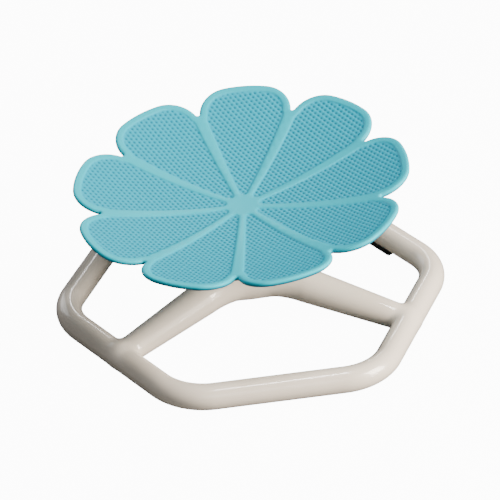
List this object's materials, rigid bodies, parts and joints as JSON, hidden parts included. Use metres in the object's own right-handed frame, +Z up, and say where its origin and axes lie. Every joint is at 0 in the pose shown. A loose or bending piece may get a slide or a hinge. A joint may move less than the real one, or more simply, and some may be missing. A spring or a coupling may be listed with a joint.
{
  "type": "swivel stool",
  "caption": "Low shower and floor stool: a flower-shaped dished seat spins on a leaning bearing above a hexagonal tube ring with tapered arms.",
  "frame": {"origin": "on the floor under the centre of the hexagonal ring", "axes": "+Z up; +X towards a corner of the ring; the seat leans down towards -Y, the front, and one arm runs to the front"},
  "size_m": [0.4824, 0.4408, 0.2011],
  "materials": {
    "cream_paint": "gloss cream powder coat over steel tube",
    "seat_plastic": "satin teal moulding, smooth borders and a dimpled non-slip field in each petal",
    "pad_rubber": "matt black",
    "black_plastic": "satin black",
    "bearing_steel": "ground bearing steel",
    "steel": "turned steel",
    "zinc_steel": "bright zinc plate",
    "brass": "turned brass"
  },
  "bodies": {
    "base_frame": {"rail_front": "cream_paint", "rail_front_right": "cream_paint", "rail_rear_right": "cream_paint", "rail_rear": "cream_paint", "rail_rear_left": "cream_paint", "rail_front_left": "cream_paint", "bend_right": "cream_paint", "bend_rear_right": "cream_paint", "bend_rear_left": "cream_paint", "bend_left": "cream_paint", "bend_front_left": "cream_paint", "bend_front_right": "cream_paint", "hub_casting": "cream_paint", "arm_front": "cream_paint", "arm_right": "cream_paint", "arm_left": "cream_paint", "foot_pad_front": "pad_rubber", "foot_pad_right": "pad_rubber", "foot_pad_left": "pad_rubber", "foot_pad_rear": "pad_rubber", "pad_screws": "zinc_steel", "upper_outer_race": "bearing_steel", "lower_outer_race": "bearing_steel", "retaining_ring": "zinc_steel", "bottom_cap": "black_plastic"},
    "seat": {"upper_inner_race": "bearing_steel", "lower_inner_race": "bearing_steel", "race_spacer": "bearing_steel", "spindle": "steel", "spindle_washer": "zinc_steel", "spindle_nut": "zinc_steel", "dust_seal": "pad_rubber", "flange_plate": "steel", "flange_screws": "zinc_steel", "flange_washers": "zinc_steel", "seat_inserts": "brass", "seat_shell": "seat_plastic"},
    "upper_ball_set": {"upper_balls": "bearing_steel", "upper_cage": "brass"},
    "lower_ball_set": {"lower_balls": "bearing_steel", "lower_cage": "brass"}
  },
  "joints": [
    {"name": "seat_spin", "type": "hinge", "parent": "base_frame", "child": "seat", "pos_m": [0, 0, 0.056], "axis": [0, -0.0828, 0.9966], "continuous": true},
    {"name": "upper_ball_spin", "type": "hinge", "parent": "base_frame", "child": "upper_ball_set", "pos_m": [0, 0, 0.056], "axis": [0, -0.0828, 0.9966], "continuous": true},
    {"name": "lower_ball_spin", "type": "hinge", "parent": "base_frame", "child": "lower_ball_set", "pos_m": [0, 0, 0.056], "axis": [0, -0.0828, 0.9966], "continuous": true}
  ],
  "couplings": [
    {"joint": "upper_ball_spin", "follows": "seat_spin", "ratio": 0.3969},
    {"joint": "lower_ball_spin", "follows": "seat_spin", "ratio": 0.3969}
  ]
}
